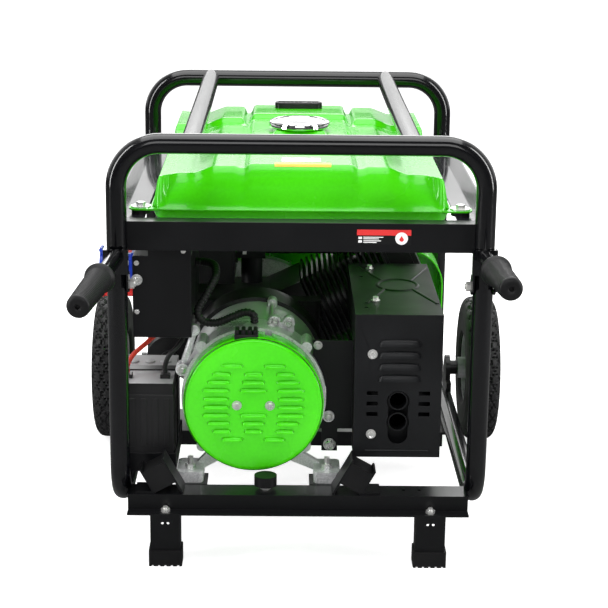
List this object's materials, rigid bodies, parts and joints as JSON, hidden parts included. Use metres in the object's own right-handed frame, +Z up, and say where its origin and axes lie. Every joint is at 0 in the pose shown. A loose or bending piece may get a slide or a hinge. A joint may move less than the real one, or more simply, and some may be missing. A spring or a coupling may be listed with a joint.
{
  "type": "portable generator",
  "caption": "Open-frame petrol generator with tube frame, round-ended alternator, slant engine, pressed fuel tank, boxed muffler, fold-out lift handles and rear wheels.",
  "frame": {"origin": "on the ground under the middle of the whole set's box, handles out", "axes": "+Z up, +X towards the muffler side, +Y from the alternator end to the wheel end"},
  "size_m": [0.68, 0.9209, 0.611],
  "materials": {
    "frame_black": "gloss",
    "sheet_black": "satin",
    "green_paint": "gloss",
    "zinc": "satin",
    "rail_steel": "gloss",
    "cast_alloy": "cast",
    "engine_black": "satin",
    "chrome": "polished",
    "steel": "satin",
    "core_steel": "satin",
    "exhaust_black": "satin",
    "rubber": "matt",
    "tyre": "matt",
    "hub_grey": "satin",
    "black_plastic": "satin",
    "battery_black": "satin",
    "blue_plastic": "satin",
    "red_plastic": "satin",
    "yellow_plastic": "satin",
    "wire": "satin"
  },
  "bodies": {
    "frame": {"front_hoop": "frame_black", "rear_hoop": "frame_black", "frame_tubes": "frame_black", "crossmembers": "sheet_black", "tank_bars": "sheet_black", "tank_rails": "rail_steel", "leg_brackets": "sheet_black", "rubber_feet": "rubber", "axle_brackets": "sheet_black", "frame_bolts": "zinc", "mount_brackets": "sheet_black", "rubber_mounts": "rubber", "fuel_tank": "green_paint", "tank_mounts": "rubber", "fuel_gauge": "black_plastic", "fuel_valve": "cast_alloy", "fuel_hose": "rubber", "crankcase": "engine_black", "cylinder": "engine_black", "valve_cover": "engine_black", "spark_plug": "rubber", "carburettor": "cast_alloy", "air_cleaner": "black_plastic", "air_cleaner_cover": "black_plastic", "fan_shroud": "green_paint", "recoil_cover": "green_paint", "dipstick": "yellow_plastic", "starter_motor": "engine_black", "end_bell": "cast_alloy", "stator": "core_steel", "end_cover": "green_paint", "muffler": "exhaust_black", "muffler_shield": "exhaust_black", "muffler_bracket": "exhaust_black", "control_box": "sheet_black", "blue_socket": "blue_plastic", "red_socket": "red_plastic", "battery": "battery_black", "battery_tray": "sheet_black", "wiring": "wire", "pivot_bolts": "zinc"},
    "wheel_left": {"tyre_left": "tyre", "hub_left": "hub_grey"},
    "wheel_right": {"tyre_right": "tyre", "hub_right": "hub_grey"},
    "handle_left": {"handle_left": "frame_black", "grip_left": "rubber"},
    "handle_right": {"handle_right": "frame_black", "grip_right": "rubber"},
    "crank_train": {"crankshaft": "steel", "rotor": "core_steel", "flywheel": "cast_alloy"},
    "fuel_cap": {"fuel_cap": "chrome"},
    "fuel_lever": {"fuel_lever": "red_plastic"},
    "choke_lever": {"choke_lever": "zinc"},
    "recoil_handle": {"recoil_handle": "black_plastic"},
    "blue_lid": {"blue_lid": "blue_plastic"},
    "red_lid": {"red_lid": "red_plastic"},
    "key_switch": {"key_switch": "chrome"},
    "breaker": {"breaker": "black_plastic"}
  },
  "joints": [
    {"name": "wheel_left_spin", "type": "hinge", "parent": "frame", "child": "wheel_left", "pos_m": [-0.312, 0.30144, 0.1225], "axis": [1, 0, 0], "continuous": true},
    {"name": "wheel_right_spin", "type": "hinge", "parent": "frame", "child": "wheel_right", "pos_m": [0.312, 0.30144, 0.1225], "axis": [1, 0, 0], "continuous": true},
    {"name": "handle_left_fold", "type": "hinge", "parent": "frame", "child": "handle_left", "pos_m": [-0.251, -0.23356, 0.4025], "axis": [1, 0, 0], "range_deg": [0, 85]},
    {"name": "handle_right_fold", "type": "hinge", "parent": "frame", "child": "handle_right", "pos_m": [0.251, -0.23356, 0.4025], "axis": [1, 0, 0], "range_deg": [0, 92]},
    {"name": "crank_spin", "type": "hinge", "parent": "frame", "child": "crank_train", "pos_m": [-0.0645, 0.06644, 0.218], "axis": [0, 1, 0], "continuous": true},
    {"name": "fuel_cap_twist", "type": "hinge", "parent": "frame", "child": "fuel_cap", "pos_m": [0, 0.14244, 0.57], "axis": [0, 0, 1], "range_deg": [0, 90]},
    {"name": "fuel_lever_turn", "type": "hinge", "parent": "frame", "child": "fuel_lever", "pos_m": [-0.061, 0.06644, 0.42], "axis": [1, 0, 0], "range_deg": [0, 90]},
    {"name": "choke_lever_turn", "type": "hinge", "parent": "frame", "child": "choke_lever", "pos_m": [-0.085, 0.13844, 0.366], "axis": [0, 1, 0], "range_deg": [0, 50]},
    {"name": "recoil_pull", "type": "slide", "parent": "frame", "child": "recoil_handle", "axis": [-1, 0, 0], "range_m": [0, 0.06], "stiffness_N_per_m": 40, "springref_m": -0.05},
    {"name": "blue_lid_open", "type": "hinge", "parent": "frame", "child": "blue_lid", "pos_m": [-0.2823, -0.13356, 0.428], "axis": [0, 1, 0], "range_deg": [0, 110], "stiffness_Nm_per_rad": 0.02, "springref_deg": -34.38},
    {"name": "red_lid_open", "type": "hinge", "parent": "frame", "child": "red_lid", "pos_m": [-0.2883, -0.06856, 0.396], "axis": [0, 1, 0], "range_deg": [0, 110], "stiffness_Nm_per_rad": 0.02, "springref_deg": -34.38},
    {"name": "key_turn", "type": "hinge", "parent": "frame", "child": "key_switch", "pos_m": [-0.234, -0.00556, 0.4], "axis": [1, 0, 0], "range_deg": [0, 90]},
    {"name": "breaker_flip", "type": "hinge", "parent": "frame", "child": "breaker", "pos_m": [-0.224, -0.00556, 0.352], "axis": [0, 1, 0], "range_deg": [0, 35]}
  ]
}
